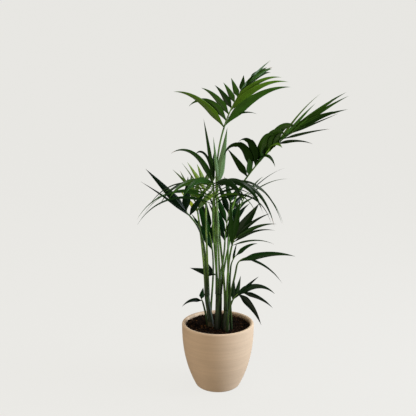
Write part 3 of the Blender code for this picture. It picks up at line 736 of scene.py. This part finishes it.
def stem_section(turn, radius, lobe, lobes):
    """Distance from a stem's centre to its skin: a core with a rounded lobe under each stalk."""
    reach = radius * STEM_CORE
    offset = radius - lobe
    for angle in lobes:
        swing = turn - angle
        inside = lobe * lobe - (offset * math.sin(swing)) ** 2
        if inside > 0:
            reach = max(reach, offset * math.cos(swing) + math.sqrt(inside))
    return reach


def build_stems():
    """Each stem: wrapped sheaths that part into the lobes from which the stalks rise."""
    # The sheaths darken to near black at the foot: painted shade among the stems
    rind = green_rind("sheath_rind", "#0A1607", "#2E4E18", "#050A03", PAINTED_SHADE_REACH_MM, roughness=0.5)
    across, up = STEM_GRAIN
    for name, stem in STEMS.items():
        lobes = [math.radians(frond.foot) for frond in FRONDS.values() if frond.stem == name]
        rings = []
        places = []
        for row in range(STEM_RINGS + 1):
            share = -STEM_SUNK + (1 + STEM_SUNK) * row / STEM_RINGS
            centre, radius = stem_line(stem, share)
            part = smooth((share - LOBES_PART) / (1 - LOBES_PART))
            lobe = radius + (LOBE_RADIUS - radius) * part
            twist = STEM_TWIST * (1 - share)
            height = share * (stem.top[2] - SOIL_TOP)
            ring = []
            for side in range(STEM_SIDES):
                turn = math.tau * side / STEM_SIDES
                reach = stem_section(turn + twist, radius, lobe, lobes)
                reach += STEM_GRAIN_DEPTH * noise.noise((turn * across, share * up, 2.0))
                ring.append(centre + level_way(turn) * reach)
                places.append((radius / MM * min(turn, math.tau - turn), height / MM))
            rings.append(ring)
        points, faces = stacked(rings, stem_line(stem, -STEM_SUNK)[0],
                                Vector(stem.top) + UP * STEM_DOME)
        places += [(0.0, 0.0)] * 2
        Skin().add(points, faces, places).piece("sheaths_" + name, [rind], "sheath_green",
                                                "stem_" + name)
        build_husk(name, stem)


def build_husk(name, stem):
    """A dead sheath round the stem's foot, split on one side, with a torn top edge."""
    dice = random.Random(len(name))
    start = dice.uniform(0, math.tau)
    tall = HUSK_HEIGHT + HUSK_PLAY * dice.random()
    points = []
    places = []
    for layer in HUSK_SKINS:
        for row in range(HUSK_ROWS + 1):
            rise = row / HUSK_ROWS
            for side in range(HUSK_SIDES + 1):
                tear = noise.noise((side * HUSK_TEAR_STEP, 0.0, len(name)))
                edge = smooth(min(side, HUSK_SIDES - side) / HUSK_CORNER)
                up = (tall * (1 - HUSK_TEAR + HUSK_TEAR * tear) * edge + HUSK_LEAST) * rise
                centre, radius = stem_line(stem, (up - HUSK_SUNK) / (stem.top[2] - SOIL_TOP))
                way = level_way(start + HUSK_SWEEP * side / HUSK_SIDES)
                points.append(centre + way * (radius + layer + HUSK_FLARE * rise ** 2))
                places.append((side * radius / MM * HUSK_SWEEP / HUSK_SIDES, up / MM))
    line = HUSK_SIDES + 1
    sheet = line * (HUSK_ROWS + 1)
    faces = []
    for low in range(sheet - line):
        if low % line < HUSK_SIDES:
            quad = (low, low + 1, low + line + 1, low + line)
            faces += [quad, tuple(index + sheet for index in reversed(quad))]
    border = list(range(line)) + list(range(line + HUSK_SIDES, sheet, line))
    border += list(range(sheet - 2, sheet - line - 1, -1))
    border += list(range(sheet - 2 * line, 0, -line))
    for here, there in zip(border, border[1:] + border[:1]):
        faces.append((there, here, here + sheet, there + sheet))
    Skin().add(points, faces, places).piece("husk_" + name, [shared(dry_husk, "dry_husk")],
                                            "sheath_green")


def rib_point(frond, share):
    """Point on the rib, a parabola from the throat past the bend to the tip."""
    start, bend, end = Vector(frond.throat), Vector(frond.bend), Vector(frond.tip)
    return start.lerp(bend, share).lerp(bend.lerp(end, share), share)


def rib_direction(frond, share):
    """Unit direction of the rib."""
    start, bend, end = Vector(frond.throat), Vector(frond.bend), Vector(frond.tip)
    return (bend - start).lerp(end - bend, share).normalized()


def stalk_foot(frond):
    """Where a frond's stalk stands: on its stem's top, or on the soil."""
    if frond.stem is None:
        return Vector((*frond.foot, SOIL_TOP + CLEAR))
    stem = STEMS[frond.stem]
    reach = stem.tip - STALK_RADIUS - CLEAR
    return Vector(stem.top) + UP * CLEAR + level_way(math.radians(frond.foot)) * reach


def stalk_points(frond, steps):
    """Centre line of a stalk: leaning out at its foot, in line with the rib at the throat."""
    foot = stalk_foot(frond)
    aim = rib_direction(frond, 0.0)
    end = Vector(frond.throat) - aim * CLEAR
    low = foot + UP * STALK_STRAIGHT
    high = end - aim * STALK_STRAIGHT
    pull = (high - low).length
    rise = UP.lerp((high - low).normalized(), STALK_LEAN).normalized()
    points = [foot]
    for step in range(steps + 1):
        share = step / steps
        rest = 1 - share
        point = low * rest * rest * (1 + 2 * share) + high * share * share * (3 - 2 * share)
        point += rise * pull * share * rest * rest - aim * pull * share * share * rest
        points.append(point)
    return points + [end]


def tube(points, radii, facing, channel, sides):
    """A tapering limb with a channel along its upper face, closed at both ends."""
    verts = []
    places = []
    faces = []
    travelled = 0.0
    for row, (point, radius) in enumerate(zip(points, radii)):
        ahead = points[min(row + 1, len(points) - 1)] - points[max(row - 1, 0)]
        ahead.normalize()
        front = (facing - ahead * facing.dot(ahead)).normalized()
        beside = ahead.cross(front)
        if row:
            travelled += (point - points[row - 1]).length
            faces += ring_faces((row - 1) * sides, sides)
        for side in range(sides):
            turn = math.tau * side / sides
            dip = 1 - channel[row] * max(math.cos(turn), 0.0) ** 4
            reach = (front * math.cos(turn) + beside * math.sin(turn)) * radius * dip
            verts.append(point + reach)
            places.append((radius / MM * min(turn, math.tau - turn), travelled / MM))
    faces += [tuple(reversed(range(sides))), tuple(range(len(verts) - sides, len(verts)))]
    return verts, faces, places


def build_stalks(settings):
    """The stalks: swollen at the foot, channelled above, tapering to the frond."""
    for name, frond in FRONDS.items():
        points = stalk_points(frond, settings.stalk_rings)
        length = sum((here - there).length for here, there in zip(points, points[1:]))
        swell_height = SWELL_ON_STEM if frond.stem else SWELL_ON_SOIL
        radii = []
        channel = []
        for step in range(len(points)):
            share = step / (len(points) - 1)
            plain = STALK_RADIUS + (STALK_TIP_RADIUS - STALK_RADIUS) * share
            radii.append(plain + SWELL * math.exp(-share * length / swell_height))
            channel.append(STALK_CHANNEL * smooth(share * CHANNEL_START))
        shape = tube([points[0] - UP * STALK_SUNK] + points, radii[:1] + radii,
                     Vector(frond.face), channel[:1] + channel, STALK_SIDES)
        rind = shared(green_rind, *STALK_RINDS[frond.tone], STALK_PAINTED_SHADE, PAINTED_SHADE_REACH_MM)
        Skin().add(*shape).piece("stalk_rind_" + name, [rind], "stalk_green", "stalk_" + name)


def leaf_width(share):
    """Width of a leaflet along its length, as a share of its full width."""
    rise = LEAF_BASE + (1 - LEAF_BASE) * smooth(share / LEAF_SHOULDER)
    return rise * (1 - share ** LEAF_TAPER) ** LEAF_POINT


def leaf_path(root, start, width_way, length, sag):
    """Centre line of a leaflet that droops by its own weight, with its width direction."""
    point, direction = root, start.normalized()
    width_way = (width_way - direction * width_way.dot(direction)).normalized()
    path = [(point, direction, width_way)]
    for step in range(LEAF_STEPS):
        weight = SAG_START + SAG_GAIN * step / LEAF_STEPS
        direction = (direction - UP * sag * weight / LEAF_STEPS).normalized()
        width_way = (width_way - direction * width_way.dot(direction)).normalized()
        point = point + direction * length / LEAF_STEPS
        path.append((point, direction, width_way))
    return path


def upper_normal(direction, width_way, face):
    """The blade's normal, turned to the side that its upper face looks to."""
    normal = direction.cross(width_way)
    return normal if normal.dot(face) > 0 else -normal


def coarse_leaf(path, length, width, face, grow=0.0):
    """The solid's leaflet, used only to keep leaflets clear of each other."""
    thick = length * LEAF_THICKNESS / 2 + grow
    verts = []
    faces = []
    for share in LEAF_STATIONS:
        point, direction, width_way = path[round(share * LEAF_STEPS)]
        normal = upper_normal(direction, width_way, face)
        half = width * leaf_width(share) / 2 + grow
        drop = normal * half * LEAF_FOLD
        verts += [point + width_way * half - drop, point + normal * thick,
                  point - width_way * half - drop, point - normal * thick]
    for ring in range(len(LEAF_STATIONS) - 1):
        faces += ring_faces(ring * 4, 4)
    faces.append((3, 2, 1, 0))
    verts.append(path[-1][0])
    return verts, faces + fan((len(LEAF_STATIONS) - 1) * 4, 4, len(verts) - 1)


# A leaflet as it grew: centre line, length, full width and the way its upper side looks
Leaflet = namedtuple("Leaflet", "path length width face")


def grow_leaflet(frond, side, sign, index, dice, taken):
    """Place one leaflet clear of everything in its way, or return None."""
    share = (index + (FIRST_RIGHT if sign > 0 else FIRST_LEFT)) / (side.count - 1 + LAST_TO_TIP)
    rank = index / max(side.count - 1, 1)
    rib = rib_direction(frond, share)
    face = Vector(frond.face)
    face = (face - rib * face.dot(rib)).normalized()
    across = rib.cross(face) * sign
    root = rib_point(frond, share)
    turn = math.radians(along(side.turn, rank))
    width_way = rib * math.cos(turn) + face * math.sin(turn)
    for attempt in range(LEAF_TRIES):
        play = 1 + TRY_SPREAD * attempt
        opening = along(side.open, rank) + dice.uniform(-OPEN_PLAY, OPEN_PLAY) * play
        opening = math.radians(opening)
        lift = math.radians(along(side.lift, rank) + dice.uniform(-LIFT_PLAY, LIFT_PLAY) * play)
        sag = along(side.sag, rank) * (1 + dice.uniform(-SAG_PLAY, SAG_PLAY) * play)
        length = along(side.reach, rank) * dice.uniform(*LENGTH_RANGE)
        outward = across * math.cos(lift) + face * math.sin(lift)
        start = rib * math.cos(opening) + outward * math.sin(opening)
        path = leaf_path(root, start, width_way, length, sag)
        width = along(side.width, rank) * dice.uniform(*WIDTH_RANGE)
        solid = coarse_leaf(path, length, width, face, grow=LEAF_MARGIN)
        if not taken.overlap(BVHTree.FromPolygons(*solid)):
            return Leaflet(path, length, width, face)
    return None


def blade_ring(leaflet, share, station, curl, wave):
    """One ring of a fine leaflet, across its upper side and back, with each place across."""
    point, direction, width_way = station
    width_way = Matrix.Rotation(curl * share * share, 3, direction) @ width_way
    normal = upper_normal(direction, width_way, leaflet.face)
    half = leaflet.width * leaf_width(share) / 2
    fold = LEAF_FOLD + ROOT_FOLD * math.exp(-share / ROOT_FOLD_REACH)
    ripple = RIPPLE_DEPTH * noise.noise((share * RIPPLES, wave, 0.0))
    body = BLADE_THICKNESS * (1 - BLADE_THINNING * share)
    ring = []
    for place in range(-BLADE_POINTS, BLADE_POINTS + 1):
        u = place / BLADE_POINTS
        pleat = PLEAT_DEPTH * math.cos(u * math.tau * PLEATS) * (1 - share)
        rise = -abs(u) * half * (fold + ripple * u) + pleat
        ring.append((point + width_way * half * u + normal * rise, u))
    ring += [(spot - normal * body * (1 - u * u), u) for spot, u in reversed(ring[1:-1])]
    return [spot for spot, _ in ring], [(half / MM * u, share * leaflet.length / MM)
                                        for _, u in ring]


def fine_leaf(leaflet, dice, dry):
    """A leaflet's closed skin: roof fold, pleats beside the midrib, thin edge and long point."""
    curl = math.radians(dice.uniform(-BLADE_CURL, BLADE_CURL))
    wave = dice.uniform(0, RIPPLE_SEEDS)
    # Each leaflet gets one spray: painted shade, its plain colour or painted light
    upper = dice.choices(range(len(PAINTED_LIGHT_SPRAYS)), PAINTED_LIGHT_ODDS)[0]
    lower = upper + len(PAINTED_LIGHT_SPRAYS)
    green = [upper] * 2 * BLADE_POINTS + [lower] * 2 * BLADE_POINTS
    dead = [2 * len(PAINTED_LIGHT_SPRAYS)] * len(green)
    verts = []
    places = []
    faces = []
    finishes = []
    for step in range(LEAF_STEPS):
        share = step / LEAF_STEPS
        spots, marks = blade_ring(leaflet, share, leaflet.path[step], curl, wave)
        verts += spots
        places += marks
        if step:
            faces += ring_faces((step - 1) * len(green), len(green))
            finishes += dead if share > dry else green
    faces.append(tuple(reversed(range(len(green)))))
    finishes.append(upper)
    verts.append(leaflet.path[-1][0])
    places.append((0.0, leaflet.length / MM))
    faces += fan((LEAF_STEPS - 1) * len(green), len(green), len(verts) - 1)
    return verts, faces, places, finishes + (dead if dry < 1 else green)


def build_ribs_and_leaflets(settings):
    """Every frond: its rib, and its leaflets grown clear of the limbs and the fronds before."""
    in_the_way = Skin()
    for node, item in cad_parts.items():
        if node.startswith(("stem_", "stalk_")):
            in_the_way.add([vert.co for vert in item.data.vertices],
                           [face.vertices for face in item.data.polygons])
    rind = green_rind("rib_rind", "#2C4A17", "#6F8F38", "#33521B", 20.0)
    shares = [step / RIB_RINGS for step in range(RIB_RINGS + 1)]
    radii = [STALK_TIP_RADIUS + (RIB_TIP_RADIUS - STALK_TIP_RADIUS) * share for share in shares]
    for name, frond in FRONDS.items():
        taken = BVHTree.FromPolygons(in_the_way.points, in_the_way.faces)
        dice = random.Random(frond.seed)
        looks = random.Random(frond.seed + LOOKS_SEED)
        rib = tube([rib_point(frond, share) for share in shares], radii, Vector(frond.face),
                   [RIB_CHANNEL] * len(shares), RIB_SIDES)
        Skin().add(*rib).piece("rib_" + name, [rind], "stalk_green")
        grown = [grow_leaflet(frond, side, sign, index, dice, taken)
                 for side, sign in ((frond.left, -1), (frond.right, 1))
                 for index in range(side.count)]
        skin = Skin()
        for leaflet in filter(None, grown):
            dry = looks.uniform(*DRY_TIP_START) if looks.random() < DRY_TIP_CHANCE else 1.0
            skin.add(*fine_leaf(leaflet, looks, dry))
            in_the_way.add(*coarse_leaf(*leaflet))
        in_the_way.add(*rib[:2])
        finishes = leaf_finishes(frond.tone, tuple(getattr(settings, "leaf_" + frond.tone)))
        skin.piece("leaflets_" + name, finishes, "leaf_green", "frond_" + name)


def studio_paper(colour):
    """Seamless paper: matt, warm pale grey, and lit evenly enough to show hardly a shadow."""
    finish = Finish("studio_paper", roughness=0.95, on_uvs=False, Emission_Strength=PAPER_GLOW,
                    Emission_Color=colour)
    clouds = finish.grain(PAPER_CLOUDS, detail=2.0)
    return finish.wear(finish.layer(clouds, (0.0, 1.0), linear("#1B1B1A"), linear("#1D1D1C")))


def build_sweep(colour):
    """The paper: a round floor that curves up into a wall on every side."""
    flat = SWEEP_REACH - SWEEP_BEND
    outline = [(flat, 0.0)]
    for step in range(1, SWEEP_ROWS + 1):
        turn = math.pi / 2 * step / SWEEP_ROWS
        outline.append((flat + SWEEP_BEND * math.sin(turn), SWEEP_BEND * (1 - math.cos(turn))))
    outline.append((SWEEP_REACH, SWEEP_HEIGHT))
    points = [point for spot in outline for point in level_ring(*spot, SWEEP_SIDES)]
    faces = [tuple(reversed(face)) for row in range(len(outline) - 1)
             for face in ring_faces(row * SWEEP_SIDES, SWEEP_SIDES)]
    faces.append(tuple(range(SWEEP_SIDES)))
    mesh = bpy.data.meshes.new("paper_sweep")
    mesh.from_pydata(points, [], faces)
    mesh.shade_smooth()
    mesh.materials.append(studio_paper(colour))
    paper = put("paper_sweep", mesh)
    # The palm neither mirrors the paper nor is lit by it, and the paper throws no shadow
    for ray in ("diffuse", "glossy", "transmission", "shadow"):
        setattr(paper, "visible_" + ray, False)


def add_lamp(name, place, aim, size, power, colour):
    """One soft round lamp that the camera doesn't see."""
    light = bpy.data.lights.new(name, "AREA")
    light.shape = "DISK"
    light.size = size
    light.energy = power
    light.color = linear(colour)[:3]
    lamp = put(name, light, place)
    way = Vector((0.0, 0.0, aim)) - Vector(place)
    lamp.rotation_euler = way.to_track_quat("-Z", "Y").to_euler()
    lamp.visible_camera = False


def build_stage(settings):
    """Pale paper, soft light from the right and above, and the photograph's camera."""
    build_sweep(tuple(settings.paper))
    world = bpy.data.worlds.new("studio")
    bpy.context.scene.world = world
    world.use_nodes = True
    sky = world.node_tree.nodes["Background"]
    sky.inputs["Color"].default_value = linear("#FFF6EC")
    sky.inputs["Strength"].default_value = settings.room_light
    for name, power, place, aim, size, colour in LAMPS:
        add_lamp(name, place, aim, size, getattr(settings, power), colour)

    data = bpy.data.cameras.new("photo_view")
    data.sensor_width = 36.0
    data.lens = CAMERA_LENS
    camera = put("photo_view", data, CAMERA_PLACE)
    camera.rotation_euler = (CAMERA_TILT, 0.0, 0.0)
    bpy.context.scene.camera = camera
    bpy.context.scene.view_settings.view_transform = "Standard"


def colour_property(name, description, code):
    """A colour that a user can change."""
    return FloatVectorProperty(name=name, description=description, default=linear(code), size=4,
                               min=0.0, max=1.0, subtype="COLOR")


class PalmPotSettings(bpy.types.PropertyGroup):
    """Sizes and colour of the pot and its compost."""

    pot_sides: IntProperty(name="Sides", description="Facets round the pot", default=180, min=32)
    ring_depth: FloatProperty(name="Ring depth", description="Height of the wheel's rings",
                              default=0.00035, unit="LENGTH", precision=5)
    crumbs: IntProperty(name="Crumbs", description="Loose bark crumbs on the compost", default=1500)
    clay: colour_property("Clay", "Colour of the dry stoneware", "#D6BC9C")


class PalmPlantSettings(bpy.types.PropertyGroup):
    """Fineness and colours of the plant."""

    stalk_rings: IntProperty(name="Stalk rings", description="Rings along each stalk", default=48)
    leaf_deep: colour_property("Shaded leaf", "Upper side of the leaflets in full shade", "#0C300D")
    leaf_mid: colour_property("Common leaf", "Upper side of most leaflets", "#244A10")
    leaf_high: colour_property("High leaf", "Upper side of the highest fronds' leaflets", "#365C17")
    leaf_young: colour_property("Young leaf", "Upper side of the youngest leaflets", "#718F2C")
    leaf_pale: colour_property("Spear", "The frond that hasn't opened", "#6A8A58")


class PalmStageSettings(bpy.types.PropertyGroup):
    """Light and paper of the stage."""

    paper: colour_property("Paper", "Colour of the seamless paper", "#E9E8E4")
    room_light: FloatProperty(name="Room light", description="Even light from all round",
                              default=0.25)
    key_light: FloatProperty(name="Key light", description="Soft light from the right",
                             default=140.0, unit="POWER")
    top_light: FloatProperty(name="Top light", description="Soft light from above",
                             default=64.0, unit="POWER")
    fill_light: FloatProperty(name="Fill light", description="Weak warm light from the front",
                              default=50.0, unit="POWER")


class PALM_OT_pot(bpy.types.Operator):
    """Build the stoneware pot"""

    bl_idname = "palm.pot"
    bl_label = "Pot"

    def execute(self, context):
        build_pot(context.scene.palm_pot)
        return {"FINISHED"}


class PALM_OT_soil(bpy.types.Operator):
    """Build the compost and its bark crumbs"""

    bl_idname = "palm.soil"
    bl_label = "Compost"

    def execute(self, context):
        build_soil(context.scene.palm_pot)
        return {"FINISHED"}


class PALM_OT_stems(bpy.types.Operator):
    """Build the sheathed stems and their husks"""

    bl_idname = "palm.stems"
    bl_label = "Stems"

    def execute(self, context):
        build_stems()
        return {"FINISHED"}


class PALM_OT_stalks(bpy.types.Operator):
    """Build the stalks that carry the fronds"""

    bl_idname = "palm.stalks"
    bl_label = "Stalks"

    def execute(self, context):
        build_stalks(context.scene.palm_plant)
        return {"FINISHED"}


class PALM_OT_fronds(bpy.types.Operator):
    """Grow the ribs and their leaflets"""

    bl_idname = "palm.fronds"
    bl_label = "Fronds"

    def execute(self, context):
        build_ribs_and_leaflets(context.scene.palm_plant)
        return {"FINISHED"}


class PALM_OT_stage(bpy.types.Operator):
    """Set the paper, the lights and the camera"""

    bl_idname = "palm.stage"
    bl_label = "Stage"

    def execute(self, context):
        build_stage(context.scene.palm_stage)
        return {"FINISHED"}


class PALM_PT_panel(bpy.types.Panel):
    """Buttons and settings of the palm"""

    bl_label = "Kentia palm"
    bl_idname = "PALM_PT_panel"
    bl_space_type = "VIEW_3D"
    bl_region_type = "UI"
    bl_category = "Palm"

    def draw(self, context):
        for group in (context.scene.palm_pot, context.scene.palm_plant, context.scene.palm_stage):
            box = self.layout.box()
            for name in group.__annotations__:
                box.prop(group, name)
        for operator in OPERATORS:
            self.layout.operator(operator.bl_idname)


GROUPS = {"palm_pot": PalmPotSettings, "palm_plant": PalmPlantSettings,
          "palm_stage": PalmStageSettings}
OPERATORS = (PALM_OT_pot, PALM_OT_soil, PALM_OT_stems, PALM_OT_stalks, PALM_OT_fronds,
             PALM_OT_stage)


def register():
    """Register the classes and hang the settings on the scene."""
    for made in (*GROUPS.values(), *OPERATORS, PALM_PT_panel):
        bpy.utils.register_class(made)
    for name, group in GROUPS.items():
        setattr(bpy.types.Scene, name, PointerProperty(type=group))


def unregister():
    """Take the settings and the classes away again."""
    for name in GROUPS:
        delattr(bpy.types.Scene, name)
    for made in reversed((*GROUPS.values(), *OPERATORS, PALM_PT_panel)):
        bpy.utils.unregister_class(made)


def main():
    """Build every piece."""
    register()
    bpy.ops.palm.pot()
    bpy.ops.palm.soil()
    bpy.ops.palm.stems()
    bpy.ops.palm.stalks()
    bpy.ops.palm.fronds()
    bpy.ops.palm.stage()


if __name__ == "__main__":
    main()
